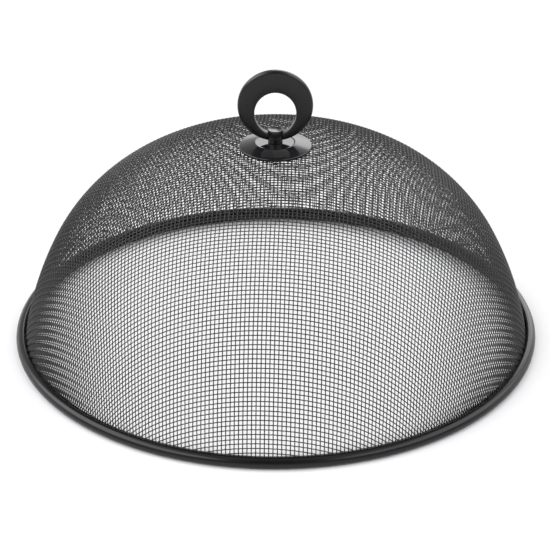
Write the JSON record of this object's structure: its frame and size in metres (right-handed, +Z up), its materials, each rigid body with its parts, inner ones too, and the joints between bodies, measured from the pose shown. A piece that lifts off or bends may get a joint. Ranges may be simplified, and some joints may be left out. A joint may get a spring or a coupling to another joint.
{
  "type": "mesh food cover",
  "caption": "Round domed food cover of black wire cloth in a curled steel rim, lifted by an upright ring knob clamped to its crown.",
  "frame": {"origin": "middle of the flat underside of the rim, on the surface that the cover stands on", "axes": "+Z up through the knob; the broad side of the knob's ring faces -Y and +Y"},
  "size_m": [0.3556, 0.3556, 0.1914],
  "materials": {
    "wire_cloth": "black coated steel wire cloth, satin",
    "rim_enamel": "black enamelled steel strip, semi-gloss",
    "disc_plate": "black lacquer with a mirror-like gloss",
    "post_enamel": "black, semi-gloss",
    "ring_enamel": "black satin",
    "zinc_plate": "zinc plated",
    "spring_steel": "plain spring steel",
    "screw_zinc": "zinc plated"
  },
  "bodies": {
    "root": {"mesh_dome": "wire_cloth", "rim_band": "rim_enamel", "base_disc": "disc_plate", "knob_post": "post_enamel", "grip_ring": "ring_enamel", "backing_washer": "zinc_plate", "lock_washer": "spring_steel", "clamp_screw": "screw_zinc"}
  },
  "joints": []
}
